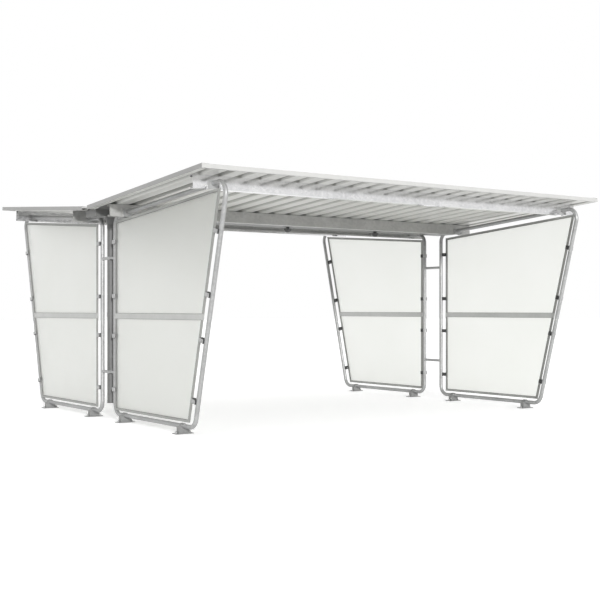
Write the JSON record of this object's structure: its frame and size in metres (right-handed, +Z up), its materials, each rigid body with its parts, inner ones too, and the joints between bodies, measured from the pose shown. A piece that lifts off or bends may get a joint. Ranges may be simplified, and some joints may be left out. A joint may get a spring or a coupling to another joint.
{
  "type": "bicycle shelter",
  "caption": "Open two-sided bicycle shelter: bent tube end frames with frosted screens carry purlins and a ribbed butterfly roof with a valley gutter and downpipe.",
  "frame": {"origin": "at floor level, in the middle of the shelter's plan", "axes": "+X along the shelter from the end with the downpipe to the other end, +Y across it from the front open side to the rear one, +Z up"},
  "size_m": [4.9716, 4.739, 2.3416],
  "materials": {
    "galvanised_tube": "hot-dip galvanised, fine spangle",
    "galvanised_fitting": "hot-dip galvanised, dull",
    "galvanised_purlin": "galvanised strip, spangled",
    "ribbed_sheet": "satin grey-white coil coating",
    "flashing": "satin grey-white coil coating",
    "gutter": "satin grey",
    "downpipe": "dark grey, semi-matt",
    "dome": "dark grey, satin",
    "frosted_pane": "frosted, satin on both faces",
    "pane_edge": "satin grey",
    "middle_rail": "satin natural",
    "clip": "zinc grey, semi-matt"
  },
  "bodies": {
    "root": {"frame_left_front": "galvanised_tube", "frame_left_rear": "galvanised_tube", "frame_right_front": "galvanised_tube", "frame_right_rear": "galvanised_tube", "upper_pane_left_front": "frosted_pane", "upper_pane_left_rear": "frosted_pane", "upper_pane_right_front": "frosted_pane", "upper_pane_right_rear": "frosted_pane", "lower_pane_left_front": "frosted_pane", "lower_pane_left_rear": "frosted_pane", "lower_pane_right_front": "frosted_pane", "lower_pane_right_rear": "frosted_pane", "pane_trim_left_front": "pane_edge", "pane_trim_left_rear": "pane_edge", "pane_trim_right_front": "pane_edge", "pane_trim_right_rear": "pane_edge", "mid_rail_left_front": "middle_rail", "mid_rail_left_rear": "middle_rail", "mid_rail_right_front": "middle_rail", "mid_rail_right_rear": "middle_rail", "clips_left_front": "clip", "clips_left_rear": "clip", "clips_right_front": "clip", "clips_right_rear": "clip", "feet_left_front": "galvanised_fitting", "feet_left_rear": "galvanised_fitting", "feet_right_front": "galvanised_fitting", "feet_right_rear": "galvanised_fitting", "leg_spacers_left": "galvanised_tube", "leg_spacers_right": "galvanised_tube", "outer_purlin_front": "galvanised_purlin", "outer_purlin_rear": "galvanised_purlin", "inner_purlin_front": "galvanised_purlin", "inner_purlin_rear": "galvanised_purlin", "purlin_saddles_left": "galvanised_fitting", "purlin_saddles_right": "galvanised_fitting", "roof_sheet_front": "ribbed_sheet", "roof_sheet_rear": "ribbed_sheet", "eave_trim_front": "flashing", "eave_trim_rear": "flashing", "verge_trim_left": "flashing", "verge_trim_right": "flashing", "gutter": "gutter", "gutter_domes": "dome", "downpipe": "downpipe"}
  },
  "joints": []
}
